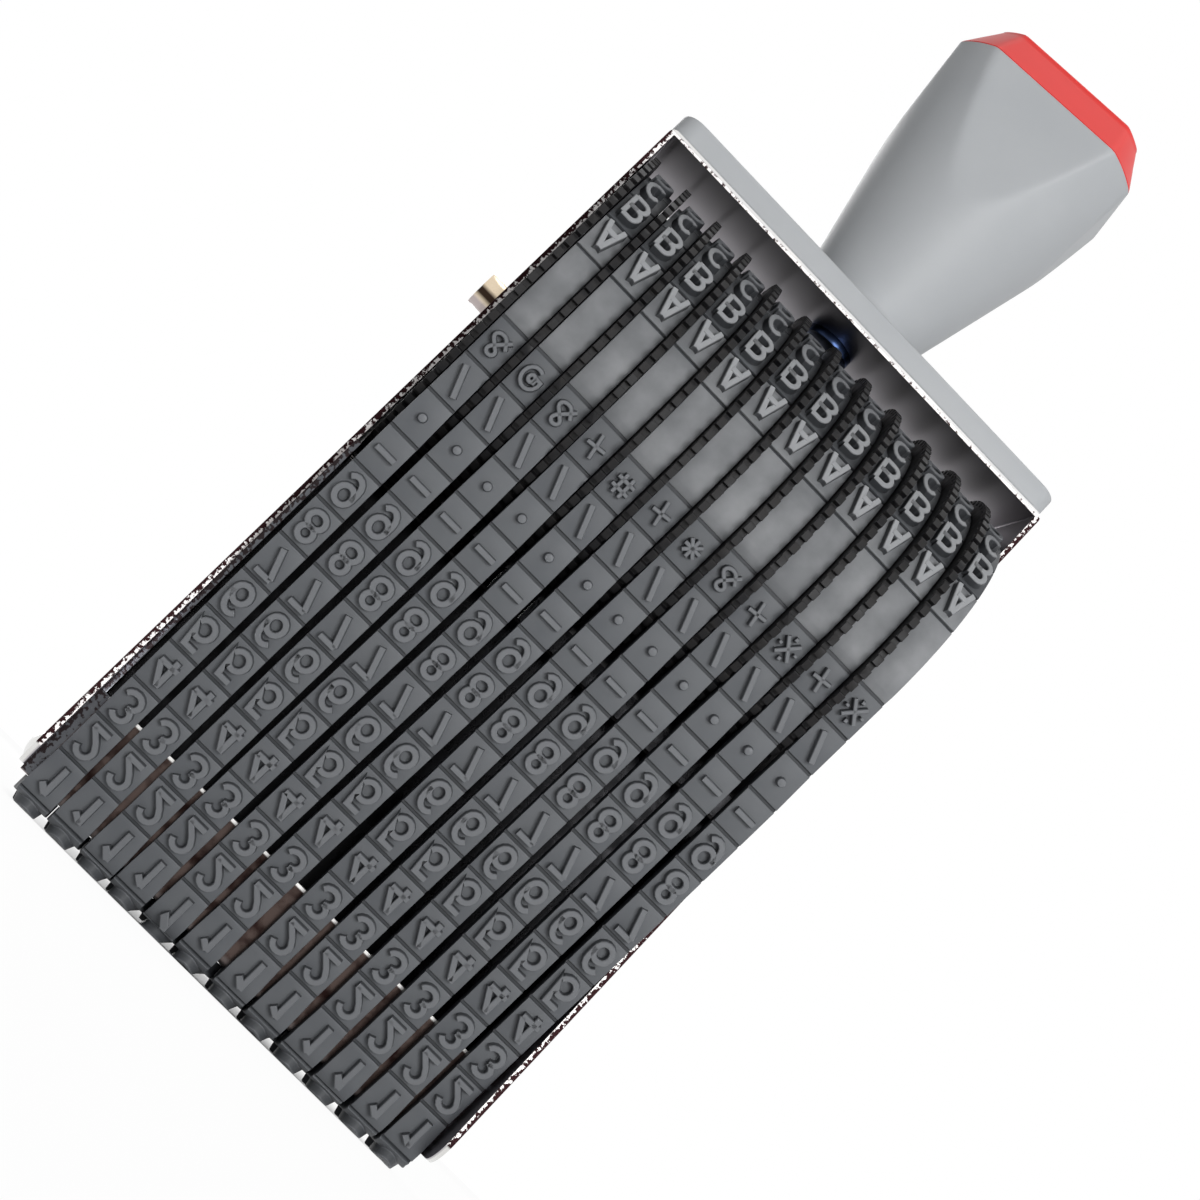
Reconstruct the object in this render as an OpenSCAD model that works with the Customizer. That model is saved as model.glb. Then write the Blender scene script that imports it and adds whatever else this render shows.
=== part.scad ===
// Roller stamp: a steel frame carries a row of rubber type bands. Each band runs over its own
// toothed setting wheel at the top and over one common platen at the print end.
// Frame: +Z up along the handle, X along the wheel axle, front at -Y, type faces at z = 0.

/* [Type bands] */
// Number of type bands, each with its own setting wheel
band_count = 12; // [4:1:16]
// Width of a band
band_w = 4.6; // [3.5:0.1:6]
// Thickness of the woven carcass under the pads
belt_t = 1; // [0.6:0.1:1.6]
// Height of a pad over the carcass
pad_t = 1.2; // [0.8:0.1:2]
// Height of a raised character over its pad
type_h = 1.2; // [0.6:0.1:1.6]
// Height of a printed character
char_h = 5; // [4:0.1:5.4]
// Width of a printed character
char_w = 3.2; // [2.6:0.1:3.4]
// Stroke width of a character
char_stroke = 0.75; // [0.4:0.05:1]
// Characters and blank cells round one band
cell_count = 42; // [38:1:46]
// First blank cell at the band's splice, counted up the front from the print end
blank_at = 14; // [10:1:18]
// Blank cells at the splice, which are one long pad
blank_cells = 2; // [1:1:4]
// Width of the groove between two cells
groove_w = 0.45; // [0.2:0.05:0.8]
// Depth of the groove between two cells
groove_d = 0.5; // [0.2:0.1:0.7]
// How far the bands stand past their centred setting
band_shift = 1.2; // [-1:0.1:1.5]
// Slack between a band and what it runs on
band_slack = 0.1; // [0.05:0.05:0.3]

/* [Setting wheels] */
// Radius of the drum that drives the band
drum_r = 24.7; // [22:0.1:27]
// Wall of the drum
drum_wall = 3; // [2:0.5:6]
// Height of the toothed rim over the drum
rim_h = 4.8; // [3.5:0.1:6]
// Thickness of the toothed rim
rim_t = 1.05; // [0.8:0.05:2]
// Teeth round the rim
tooth_count = 80; // [60:1:90]
// Depth of the gap between two teeth
tooth_d = 0.9; // [0.5:0.1:1.2]
// Share of the tooth spacing that is tooth
tooth_share = 0.6; // [0.4:0.05:0.7]
// Radius of the boss on the axle
boss_r = 5; // [4:0.5:10]
// Gap between a band and the rims beside it
side_gap = 0.16; // [0.1:0.01:0.4]
// Gap between neighbouring wheels
wheel_gap = 0.15; // [0.1:0.01:0.3]
// Running clearance of a bore on the axle
bore_gap = 0.05; // [0.02:0.01:0.1]

/* [Axle] */
// Radius of the axle
axle_r = 2; // [1.5:0.1:3]
// Height of the axle over the type faces
axle_h = 93; // [86:0.5:110]
// Radius of the axle's head and of its nut
axle_head_r = 2.6; // [2.4:0.1:4]
// Height of the axle's head and of its nut
axle_head_h = 2.8; // [1:0.1:3.5]
// Length of the thread on the reduced end that the nut takes
axle_stub_h = 1.4; // [0.6:0.1:2.6]
// Width of the screwdriver slot in the head and the nut
slot_w = 0.8; // [0.5:0.1:1.2]
// Depth of that slot
slot_d = 0.6; // [0.3:0.1:0.9]
// Radius of the washers beside the outer wheels
washer_r = 6; // [5:0.5:10]
// Thickness of the washers
washer_t = 0.4; // [0.3:0.1:1]

/* [Frame] */
// Sheet thickness of the frame
sheet_t = 0.8; // [0.7:0.1:1.6]
// Depth of the frame, front to back
frame_d = 24; // [18:0.5:32]
// Room between the wheels' teeth and the top plate
top_gap = 1.6; // [1.5:0.1:4]
// Height of the lower ends of the cheeks over the type faces
cheek_z = 4.2; // [3:0.1:5]
// Corner radius of the cheeks' lower ends
cheek_r = 4; // [2:0.5:8]
// Outer radius of the frame's bends
bend_r = 1; // [0.9:0.1:3]

/* [Platen] */
// Flat width of the platen under the bands
platen_flat = 6; // [4:0.1:8]
// Radius of the platen's edges
platen_r = 1; // [0.9:0.1:2]
// Sheet thickness of the platen
platen_t = 0.8; // [0.6:0.1:0.8]
// Height of the platen's flanges over its edges
platen_h = 13.5; // [8:0.5:20]
// Room between the platen's side plates and the wheels' teeth
plate_gap = 1; // [0.5:0.5:20]
// How far the platen's side plates stand back from its face
plate_set = 0.1; // [0.05:0.05:0.4]
// Height of the lower edge of the platen's web over the rivets
web_up = 4; // [3:0.5:10]
// Room between the platen's web and the wheels' teeth and drums
web_gap = 0.4; // [0.3:0.1:0.9]
// Radius of the rivets' shanks
rivet_r = 1; // [0.8:0.1:1.4]
// Radius of the rivets' domed heads
rivet_head_r = 2.4; // [2:0.1:3]
// Height of the rivets' domed heads
rivet_head_h = 1; // [0.6:0.1:1.6]
// Height of the rivets over the ends of the cheeks
rivet_up = 2.8; // [2.5:0.1:5]

/* [Handle] */
// Thickness of the handle's base
base_t = 3.4; // [2.5:0.1:6]
// Corner radius of the handle's base
base_r = 3; // [1:0.5:6]
// Radius of the neck on the base
neck_r = 9.4; // [8:0.1:11]
// Radius that the neck's cone reaches at the top of the grip
flare_r = 18.6; // [17:0.1:24]
// Height of the grip over the base
grip_h = 39.6; // [30:0.1:50]
// Width of the grip over its flat sides, at the top
grip_w = 32.4; // [28:0.1:36]
// Depth of the grip over its flat front and back, at the top
grip_d = 30; // [26:0.1:36]
// Width and depth that the flats' taper has at the base, where the neck is narrower
grip_low_w = 26; // [22:0.1:28]
// How far the grip is turned on its base, in degrees
grip_turn = 11; // [-15:1:15]
// Height of the red cap
cap_h = 6.4; // [3:0.1:9]
// How far the cap's sides slope in
cap_slope = 3.6; // [2:0.1:5]
// Radius of the cap's spigot
spigot_r = 5; // [3:0.1:7]
// Length of the cap's spigot
spigot_h = 7; // [4:0.5:12]
// Radius of the screw that holds the handle
screw_r = 2; // [1.5:0.1:2.5]
// Length of that screw in the handle
screw_l = 16; // [10:0.5:20]
// Radius of that screw's head
screw_head_r = 4; // [3.5:0.1:6]
// Height of that screw's head
screw_head_h = 1.2; // [0.8:0.1:1.3]
// Clearance of a fixed pin in its hole
fit_gap = 0.05; // [0.02:0.01:0.1]

/* [Hidden] */
$fn = 64;
tiny = 0.01;

// Row of wheels along the axle
band_pitch = rim_t + band_w + 2 * side_gap;
stack_w = band_count * band_pitch - wheel_gap;
end_play = 0.05;
inner_half = stack_w / 2 + end_play + washer_t;
outer_half = inner_half + sheet_t;
function wheel_x(i) = -stack_w / 2 + (i - 1) * band_pitch;

// Heights
rim_r = drum_r + rim_h;
plate_z = axle_h + rim_r + top_gap;
base_z = plate_z + sheet_t;
grip_z = base_z + base_t;
cap_z = grip_z + grip_h;
rivet_z = cheek_z + rivet_up;

// Loop that a band follows: a drum arc, two straight runs and the platen's flat and edges.
// Offsets are counted outwards from the drum and the platen.
platen_y = platen_flat / 2;
platen_z = type_h + pad_t + belt_t + band_slack + platen_r;
drop = axle_h - platen_z;
centre_l = norm([platen_y, drop]);
run_tilt = atan2(drop, platen_y) - acos((drum_r - platen_r) / centre_l);
run_l = sqrt(pow(centre_l, 2) - pow(drum_r - platen_r, 2));
cell_line = band_slack + belt_t;
edge_l = (platen_r + cell_line) * (90 - run_tilt) * PI / 180;
drum_l = (drum_r + cell_line) * (90 + run_tilt) * PI / 180;
loop_l = 2 * (platen_y + edge_l + run_l + drum_l);
cell_l = loop_l / cell_count;

// Point at length s from the middle of the platen, going up the front, at offset d
function front_point(s, d) =
    let (edge_s = s - platen_y, run_s = edge_s - edge_l, drum_s = run_s - run_l)
    edge_s <= 0 ? [-s, platen_z - platen_r - d] :
    run_s <= 0 ? polar(-platen_y, platen_z, platen_r + d, arc_deg(edge_s, platen_r) - 90) :
    drum_s <= 0 ? polar(-platen_y, platen_z, platen_r + d, -run_tilt)
        + run_s * [-sin(run_tilt), cos(run_tilt)] :
    polar(0, axle_h, drum_r + d, arc_deg(drum_s, drum_r) - run_tilt);
function arc_deg(s, r) = s / (r + cell_line) * 180 / PI;
// Point at radius r and at an angle counted upwards from the front
function polar(y, z, r, a) = [y - r * cos(a), z + r * sin(a)];
function loop_point(s, d) =
    let (t = s - loop_l * floor(s / loop_l))
    t <= loop_l / 2 ? front_point(t, d) : mirrored(front_point(loop_l - t, d));
function mirrored(p) = [-p[0], p[1]];

// A pad is one straight step on the runs, and several on the drum and the platen's edges
curve_steps = 6;
pad_face = band_slack + belt_t + pad_t;
run_from = platen_y + edge_l;
function from_platen(s) = min(s, loop_l - s);
function on_run(s) = from_platen(s) > run_from && from_platen(s) < run_from + run_l;

// Each pad is given as its first cell and the number of cells it covers
pads = [for (k = [0:cell_count - blank_cells])
    k < blank_at ? [k, 1] : k == blank_at ? [k, blank_cells] : [k + blank_cells - 1, 1]];
function pad_start(p) = band_shift + (p[0] - 0.5) * cell_l + groove_w / 2;
function pad_end(p) = pad_start(p) + p[1] * cell_l - groove_w;
function pad_steps(p) = on_run(pad_start(p)) && on_run(pad_end(p)) ? 1 : p[1] * curve_steps;
function pad_s(p) =
    [for (j = [0:pad_steps(p)]) pad_start(p) + (pad_end(p) - pad_start(p)) * j / pad_steps(p)];
function pad_outline(p) = concat(
    [loop_point(pad_start(p), pad_face - groove_d)],
    [for (s = pad_s(p)) loop_point(s, pad_face)],
    [loop_point(pad_end(p), pad_face - groove_d)]);
function band_outside() = [for (p = pads) each pad_outline(p)];
function band_inside() = [for (p = pads, s = pad_s(p)) loop_point(s, band_slack)];

function two_digits(i) = i < 10 ? str("0", i) : str(i);
function wheel_name(i) = str("setting_wheel_", two_digits(i));
function band_name(i) = str("type_band_", two_digits(i));

// Stands a flat outline drawn in (y, z) upright and gives it a length along X
module along_x(from, to) {
    translate([from, 0, 0]) rotate([90, 0, 90]) linear_extrude(to - from) children();
}

// Round bar along X
module bar_x(from, to, r) {
    translate([from, 0, 0]) rotate([0, 90, 0]) cylinder(h = to - from, r = r);
}

// Rectangle with round corners, centred
module round_rect(w, d, r) {
    square([w - 2 * r, d], center = true);
    square([w, d - 2 * r], center = true);
    for (x = [-1, 1], y = [-1, 1])
        translate([x * (w / 2 - r), y * (d / 2 - r)]) circle(r);
}

// Cone with four flats cut on it, turned as the grip is. Each end is given as [width, depth, radius].
module flatted_cone(h, low, high) {
    intersection() {
        cylinder(h = h, r1 = low[2], r2 = high[2]);
        rotate(-grip_turn) hull() {
            linear_extrude(tiny) square([low[0], low[1]], center = true);
            translate([0, 0, h - tiny]) linear_extrude(tiny) square([high[0], high[1]], center = true);
        }
    }
}

// One strip of plated sheet bent to a U: a top plate and two cheeks
module frame() {
    color("silver") difference() {
        intersection() {
            rotate([90, 0, 0]) linear_extrude(frame_d, center = true) frame_section();
            along_x(-outer_half, outer_half) cheek_outline();
        }
        translate([0, 0, axle_h]) bar_x(-outer_half - 1, outer_half + 1, axle_r + fit_gap);
        translate([0, 0, rivet_z]) bar_x(-outer_half - 1, outer_half + 1, rivet_r + fit_gap);
        translate([0, 0, plate_z - 1]) cylinder(h = sheet_t + 2, r = screw_r + fit_gap);
    }
}

module frame_section() {
    difference() {
        bent_section(outer_half, base_z, bend_r);
        bent_section(inner_half, plate_z, max(bend_r - sheet_t, tiny));
    }
}

module bent_section(half, top, r) {
    translate([-half, 0]) square([2 * half, top - r]);
    translate([r - half, 0]) square([2 * (half - r), top]);
    for (x = [-1, 1]) translate([x * (half - r), top - r]) circle(r);
}

module cheek_outline() {
    translate([-frame_d / 2, cheek_z + cheek_r]) square([frame_d, base_z - cheek_z - cheek_r]);
    translate([cheek_r - frame_d / 2, cheek_z]) square([frame_d - 2 * cheek_r, cheek_r + tiny]);
    for (y = [-1, 1])
        translate([y * (frame_d / 2 - cheek_r), cheek_z + cheek_r]) circle(cheek_r);
}

// Folded steel channel that backs the type. A web inside the bands joins its two side plates, with
// a tab under each drum, between the rims. Each side plate is riveted to a cheek.
platen_steps = 8;
function run_end_s(h) = run_from + h / cos(run_tilt);
channel_end_s = run_end_s(platen_h);
plate_top_z = axle_h - rim_r - plate_gap;
plate_end_s = run_end_s(plate_top_z - platen_z);
web_z = rivet_z + web_up;
web_half = inner_half - platen_t / 2;
tab_gap = 2 * web_gap;
function platen_outline(end_s, d) = [for (s = concat(
    [-end_s],
    [for (j = [-platen_steps:0]) -platen_y + edge_l * j / platen_steps],
    [for (j = [0:platen_steps]) platen_y + edge_l * j / platen_steps],
    [end_s])) loop_point(s, d)];
function reversed(list) = [for (i = [len(list) - 1:-1:0]) list[i]];
module platen() {
    channel = concat(
        platen_outline(channel_end_s, 0), reversed(platen_outline(channel_end_s, -platen_t)));
    color("gainsboro") difference() {
        union() {
            along_x(-inner_half, inner_half) polygon(channel);
            along_x(-web_half, web_half) web_section(rim_r);
            for (i = [1:band_count])
                along_x(wheel_x(i) + rim_t + tab_gap, wheel_x(i + 1) - tab_gap) web_section(drum_r);
            for (end = [-inner_half, inner_half - platen_t])
                along_x(end, end + platen_t) polygon(platen_outline(plate_end_s, -plate_set));
        }
        translate([0, 0, rivet_z]) bar_x(-outer_half, outer_half, rivet_r + fit_gap);
    }
}

// Section of the web, which ends below what turns above it at radius r
module web_section(r) {
    translate([-platen_t / 2, web_z]) square([platen_t, axle_h - r - web_gap - web_z]);
}

// Two rivets: a domed head outside each cheek, a flat head inside the platen's side plate
rivet_clinch_h = 0.6;
rivet_clinch_r = rivet_r + 0.5;
rivet_grip = sheet_t + platen_t;
dome_r = (pow(rivet_head_r, 2) + pow(rivet_head_h, 2)) / (2 * rivet_head_h);
module platen_rivets() {
    color("silver") for (side = [-1, 1]) translate([side * outer_half, 0, rivet_z])
        rotate([0, side * 90, 0]) rotate_extrude() rivet_section();
}

// Half section of a rivet, with the cheek's outer face at height 0
module rivet_section() {
    translate([0, -rivet_grip - rivet_clinch_h]) square([rivet_r, rivet_grip + rivet_clinch_h]);
    translate([0, -rivet_grip - rivet_clinch_h]) square([rivet_clinch_r, rivet_clinch_h]);
    intersection() {
        translate([0, rivet_head_h - dome_r]) circle(dome_r);
        square([rivet_head_r + 1, rivet_head_h + 1]);
    }
}

// Axle rod with a slotted head at the left, stepped down to a threaded end at the right
axle_stub_r = axle_r - 0.6;
module axle() {
    color("tan") translate([0, 0, axle_h]) difference() {
        union() {
            bar_x(-outer_half - tiny, outer_half, axle_r);
            bar_x(-outer_half - axle_head_h, -outer_half, axle_head_r);
            bar_x(outer_half - tiny, outer_half + min(axle_stub_h, axle_head_h - slot_d), axle_stub_r);
        }
        driver_slot(-outer_half - axle_head_h);
    }
}

// Slotted round nut on the axle's threaded end
module axle_nut() {
    color("tan") translate([0, 0, axle_h]) difference() {
        bar_x(outer_half, outer_half + axle_head_h, axle_head_r);
        bar_x(outer_half - 1, outer_half + axle_head_h + 1, axle_stub_r + fit_gap);
        driver_slot(outer_half + axle_head_h);
    }
}

module driver_slot(x) {
    translate([x, 0, 0]) cube([2 * slot_d, slot_w, 2 * axle_head_r + 1], center = true);
}

// Washers between the outer wheels and the cheeks
module axle_washers() {
    color("silver") translate([0, 0, axle_h]) for (x = [-inner_half, inner_half - washer_t])
        difference() {
            bar_x(x, x + washer_t, washer_r);
            bar_x(x - 1, x + washer_t + 1, axle_r + fit_gap);
        }
}

// Moulded wheel: a toothed disc at the left, with the drum and a boss standing on it
module setting_wheel(i) {
    wheel_w = band_pitch - wheel_gap;
    color("dimgray") translate([wheel_x(i), 0, axle_h]) difference() {
        union() {
            along_x(0, rim_t) polygon(rim_outline());
            bar_x(rim_t - tiny, wheel_w, drum_r);
        }
        difference() {
            bar_x(rim_t, wheel_w + 1, drum_r - drum_wall);
            bar_x(0, wheel_w + 2, boss_r);
        }
        bar_x(-1, wheel_w + 1, axle_r + bore_gap);
    }
}
tooth_deg = 360 / tooth_count;
function rim_outline() = [for (k = [0:tooth_count - 1]) each [
    polar(0, 0, rim_r - tooth_d, (k - tooth_share / 2) * tooth_deg),
    polar(0, 0, rim_r, (k - tooth_share / 2) * tooth_deg),
    polar(0, 0, rim_r, (k + tooth_share / 2) * tooth_deg),
    polar(0, 0, rim_r - tooth_d, (k + tooth_share / 2) * tooth_deg)]];

// Rubber band with a pad for each cell, and the raised zero that is set at the print end
module type_band(i) {
    x = wheel_x(i) + rim_t + side_gap;
    color("slategray") {
        along_x(x, x + band_w) difference() {
            polygon(band_outside());
            polygon(band_inside());
        }
        translate([x + band_w / 2, 0, 0]) linear_extrude(type_h + tiny) zero();
    }
}

module zero() {
    difference() {
        oval(char_w, char_h);
        oval(char_w - 2 * char_stroke, char_h - 2 * char_stroke);
    }
}

// Upright oval with straight sides
module oval(w, h) {
    square([w, h - w], center = true);
    for (y = [-1, 1]) translate([0, y * (h - w) / 2]) circle(w / 2);
}

// Moulded handle: a base that covers the top plate, and a flaring neck that four flats make a grip of
grip_end = [grip_w, grip_d, flare_r];
module handle() {
    color("lightsteelblue") difference() {
        union() {
            translate([0, 0, base_z]) linear_extrude(base_t)
                round_rect(2 * outer_half, frame_d, base_r);
            translate([0, 0, grip_z - tiny])
                flatted_cone(grip_h + tiny, [grip_low_w, grip_low_w, neck_r], grip_end);
        }
        translate([0, 0, base_z - 1]) cylinder(h = screw_l + 1 + fit_gap, r = screw_r + fit_gap);
        translate([0, 0, cap_z - spigot_h - fit_gap])
            cylinder(h = spigot_h + 1, r = spigot_r + fit_gap);
    }
}

// Thin-headed screw that holds the handle from below the top plate
module handle_screw() {
    color("slategray") {
        translate([0, 0, plate_z - screw_head_h]) cylinder(h = screw_head_h, r = screw_head_r);
        translate([0, 0, plate_z - tiny]) cylinder(h = sheet_t + screw_l + tiny, r = screw_r);
    }
}

// Red cap that plugs the top of the grip
module cap() {
    color("red") {
        translate([0, 0, cap_z])
            flatted_cone(cap_h, grip_end, grip_end - cap_slope * [2, 2, 1]);
        translate([0, 0, cap_z - spigot_h]) cylinder(h = spigot_h + tiny, r = spigot_r);
    }
}

frame();
platen();
platen_rivets();
axle();
axle_nut();
axle_washers();
handle();
handle_screw();
cap();
for (i = [1:band_count]) setting_wheel(i);
for (i = [1:band_count]) type_band(i);
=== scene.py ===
import math

import bmesh
import bpy
from bmesh.types import BMEdge, BMFace, BMVert
from mathutils import Matrix, Vector


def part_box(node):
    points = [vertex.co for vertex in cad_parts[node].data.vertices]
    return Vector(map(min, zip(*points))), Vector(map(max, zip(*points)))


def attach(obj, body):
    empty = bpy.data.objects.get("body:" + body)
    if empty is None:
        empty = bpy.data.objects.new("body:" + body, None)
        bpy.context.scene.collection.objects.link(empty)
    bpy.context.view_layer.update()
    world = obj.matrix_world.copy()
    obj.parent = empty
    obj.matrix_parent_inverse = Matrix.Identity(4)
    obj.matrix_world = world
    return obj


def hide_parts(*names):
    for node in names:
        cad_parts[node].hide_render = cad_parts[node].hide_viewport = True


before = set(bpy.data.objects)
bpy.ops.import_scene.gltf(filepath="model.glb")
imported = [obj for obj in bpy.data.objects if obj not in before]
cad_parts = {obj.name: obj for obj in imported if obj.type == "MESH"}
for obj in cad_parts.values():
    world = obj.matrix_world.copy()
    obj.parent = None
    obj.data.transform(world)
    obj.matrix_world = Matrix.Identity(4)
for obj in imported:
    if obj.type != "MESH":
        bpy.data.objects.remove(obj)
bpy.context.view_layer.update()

# Frame: one strip of bright plated sheet steel, cut and bent to a U.
# The top plate takes the handle's screw, and the two cheeks carry the axle and the platen.
MM = 0.001
SHEET_T, SHEET_EDGE = 0.8 * MM, 0.12 * MM
WELD_GAP, SHARP_ANGLE = 0.002 * MM, math.radians(40)
# A metal finish: clean and stained colour, range of roughness, depth of the marks, scale of the smudges
PLATE_FINISH = ((0.80, 0.80, 0.79), (0.72, 0.71, 0.69), (0.10, 0.22), 0.02 * MM)
# Painted shade inside the U: its grey, and its roughness
INSIDE_SHADE_GREY, INSIDE_ROUGH = (0.33, 0.31, 0.335), 0.40
CUT_RUST, CUT_BRIGHT, CUT_ROUGH = (0.024, 0.010, 0.011), (0.66, 0.64, 0.63), 0.60
RUST_SCALE, RUST_RANGE, RUST_LEAN = 2300.0, (0.52, 0.60), 0.14
POLISH_MARK, MARK_STRENGTH = (20 * MM, 0.7 * MM, 0.7 * MM), 0.15
SMUDGE_SCALE, SMUDGE_RANGE = 130.0, (0.42, 0.68)
# Nearly all of a noise lies between these values
NOISE_RANGE = (0.35, 0.70)


def add_socket(group, name, kind, way, default=None):
    socket = group.interface.new_socket(name=name, in_out=way, socket_type=kind)
    if default is not None:
        socket.default_value = default


def add_node(tree, kind, **settings):
    node = tree.nodes.new(kind)
    for name, setting in settings.items():
        setattr(node, name, setting)
    return node


def noise_node(tree, vector, scale, detail=3.0):
    node = add_node(tree, "ShaderNodeTexNoise")
    node.inputs["Scale"].default_value = scale
    node.inputs["Detail"].default_value = detail
    tree.links.new(vector, node.inputs["Vector"])
    return node


def polish_marks_group():
    """Fine polishing lines along one direction, and faint smudges, for plated and bare metal."""
    group = bpy.data.node_groups.new("polish marks", "ShaderNodeTree")
    add_socket(group, "Vector", "NodeSocketVector", "INPUT")
    add_socket(group, "Smudge Scale", "NodeSocketFloat", "INPUT", SMUDGE_SCALE)
    add_socket(group, "Marks", "NodeSocketFloat", "OUTPUT")
    add_socket(group, "Smudges", "NodeSocketFloat", "OUTPUT")
    start = add_node(group, "NodeGroupInput")
    end = add_node(group, "NodeGroupOutput")
    stretch = add_node(group, "ShaderNodeMapping", vector_type="TEXTURE")
    stretch.inputs["Scale"].default_value = POLISH_MARK
    group.links.new(start.outputs["Vector"], stretch.inputs["Vector"])
    lines = noise_node(group, stretch.outputs["Vector"], 1.0)
    group.links.new(lines.outputs["Fac"], end.inputs["Marks"])
    smudges = noise_node(group, start.outputs["Vector"], 1.0)
    group.links.new(start.outputs["Smudge Scale"], smudges.inputs["Scale"])
    group.links.new(smudges.outputs["Fac"], end.inputs["Smudges"])
    return group


polish_marks = polish_marks_group()


def object_place(tree):
    return add_node(tree, "ShaderNodeTexCoord").outputs["Object"]


def place_axis(tree, axis):
    split = add_node(tree, "ShaderNodeSeparateXYZ")
    tree.links.new(object_place(tree), split.inputs["Vector"])
    return split.outputs[axis]


def arithmetic(tree, operation, first, second):
    node = add_node(tree, "ShaderNodeMath", operation=operation)
    for socket, source in zip(node.inputs, (first, second)):
        if isinstance(source, (int, float)):
            socket.default_value = source
        else:
            tree.links.new(source, socket)
    return node.outputs["Value"]


def off_centre(tree, axis):
    """Distance of the surface from the object's middle along one axis."""
    return arithmetic(tree, "ABSOLUTE", place_axis(tree, axis), 0.0)


def ramp(tree, source, low, high, low_value, high_value):
    """Value that runs from low_value to high_value as source goes from low to high."""
    node = add_node(tree, "ShaderNodeMapRange")
    node.inputs["From Min"].default_value = low
    node.inputs["From Max"].default_value = high
    node.inputs["To Min"].default_value = low_value
    node.inputs["To Max"].default_value = high_value
    tree.links.new(source, node.inputs["Value"])
    return node.outputs["Result"]


def two_tones(tree, mask, first, second):
    node = add_node(tree, "ShaderNodeMix", data_type="RGBA")
    node.inputs["A"].default_value = (*first, 1.0)
    node.inputs["B"].default_value = (*second, 1.0)
    tree.links.new(mask, node.inputs["Factor"])
    return node.outputs["Result"]


def repaint(tree, shader, colour, *coats):
    """Lays coats over a colour, each given as a mask and a paint, and shows the last on the shader."""
    for mask, paint in coats:
        node = add_node(tree, "ShaderNodeMix", data_type="RGBA")
        if isinstance(paint, tuple):
            node.inputs["B"].default_value = (*paint, 1.0)
        else:
            tree.links.new(paint, node.inputs["B"])
        tree.links.new(mask, node.inputs["Factor"])
        tree.links.new(colour, node.inputs["A"])
        colour = node.outputs["Result"]
    tree.links.new(colour, shader.inputs["Base Color"])


def bump(tree, height, strength, depth):
    node = add_node(tree, "ShaderNodeBump")
    node.inputs["Strength"].default_value = strength
    node.inputs["Distance"].default_value = depth
    tree.links.new(height, node.inputs["Height"])
    return node.outputs["Normal"]


def new_finish(name):
    material = bpy.data.materials.new(name)
    material.use_nodes = True
    tree = material.node_tree
    return material, tree, tree.nodes["Principled BSDF"]


def metal_finish(name, clean, stained, rough, mark_depth, smudge_scale=SMUDGE_SCALE):
    """Material of a bare or plated metal piece; returned with its tree, shader and colour."""
    material, tree, shader = new_finish(name)
    shader.inputs["Metallic"].default_value = 1.0
    marks = add_node(tree, "ShaderNodeGroup", node_tree=polish_marks)
    marks.inputs["Smudge Scale"].default_value = smudge_scale
    tree.links.new(object_place(tree), marks.inputs["Vector"])
    smudges = marks.outputs["Smudges"]
    colour = two_tones(tree, ramp(tree, smudges, *SMUDGE_RANGE, 0.0, 1.0), clean, stained)
    tree.links.new(colour, shader.inputs["Base Color"])
    tree.links.new(ramp(tree, smudges, *NOISE_RANGE, *rough), shader.inputs["Roughness"])
    tree.links.new(bump(tree, marks.outputs["Marks"], MARK_STRENGTH, mark_depth), shader.inputs["Normal"])
    return material, tree, shader, colour


def dress(node_name, material, edge, turned=False):
    """A CAD solid that stays in view: its triangles are welded, its edges rounded, its finish set.

    Turned pieces are shaded smoothly and the others flat.
    """
    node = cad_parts[node_name]
    weld = node.modifiers.new("weld", "WELD")
    weld.merge_threshold = WELD_GAP
    rounding = node.modifiers.new("rounded edges", "BEVEL")
    rounding.width = edge
    rounding.segments = 2
    rounding.limit_method = "ANGLE"
    rounding.angle_limit = SHARP_ANGLE
    rounding.harden_normals = turned
    if turned:
        node.data.shade_smooth()
    node.data.materials.clear()
    node.data.materials.append(material)


frame_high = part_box("frame")[1]
frame_plate, plate_tree, plate_shader, plate_colour = metal_finish("frame plate", *PLATE_FINISH)
# The inside of the U, under the top plate and between the cheeks, is painted darker grey as shade
across = off_centre(plate_tree, "X")
inside_x = ramp(plate_tree, across, frame_high.x - SHEET_T, frame_high.x - 0.6 * SHEET_T, 1.0, 0.0)
top_from, top_to = frame_high.z - 0.7 * SHEET_T, frame_high.z - 0.4 * SHEET_T
inside_z = ramp(plate_tree, place_axis(plate_tree, "Z"), top_from, top_to, 1.0, 0.0)
inside = arithmetic(plate_tree, "MULTIPLY", inside_x, inside_z)
# The sheet's cut edges at the front and back are unplated and speckled with rust, most at the outside
cut_from, cut_to = frame_high.y - 0.15 * MM, frame_high.y - 0.10 * MM
cut_edge = ramp(plate_tree, off_centre(plate_tree, "Y"), cut_from, cut_to, 0.0, 1.0)
cut_edge = arithmetic(plate_tree, "MULTIPLY", cut_edge, inside_z)
cut_specks = noise_node(plate_tree, object_place(plate_tree), RUST_SCALE).outputs["Fac"]
to_outside = ramp(plate_tree, across, frame_high.x - SHEET_T, frame_high.x, RUST_LEAN, -RUST_LEAN)
cut_specks = arithmetic(plate_tree, "ADD", cut_specks, to_outside)
still_bright = ramp(plate_tree, cut_specks, *RUST_RANGE, 0.0, 1.0)
cut_paint = two_tones(plate_tree, still_bright, CUT_RUST, CUT_BRIGHT)
repaint(plate_tree, plate_shader, plate_colour, (inside, INSIDE_SHADE_GREY), (cut_edge, cut_paint))
plate_rough = plate_shader.inputs["Roughness"].links[0].from_socket
dull_inside = ramp(plate_tree, inside, 0.0, 1.0, 0.0, INSIDE_ROUGH)
dull_edge = ramp(plate_tree, cut_edge, 0.0, 1.0, 0.0, CUT_ROUGH)
dull = arithmetic(plate_tree, "MAXIMUM", dull_inside, dull_edge)
plate_rough = arithmetic(plate_tree, "MAXIMUM", plate_rough, dull)
plate_tree.links.new(plate_rough, plate_shader.inputs["Roughness"])
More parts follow.
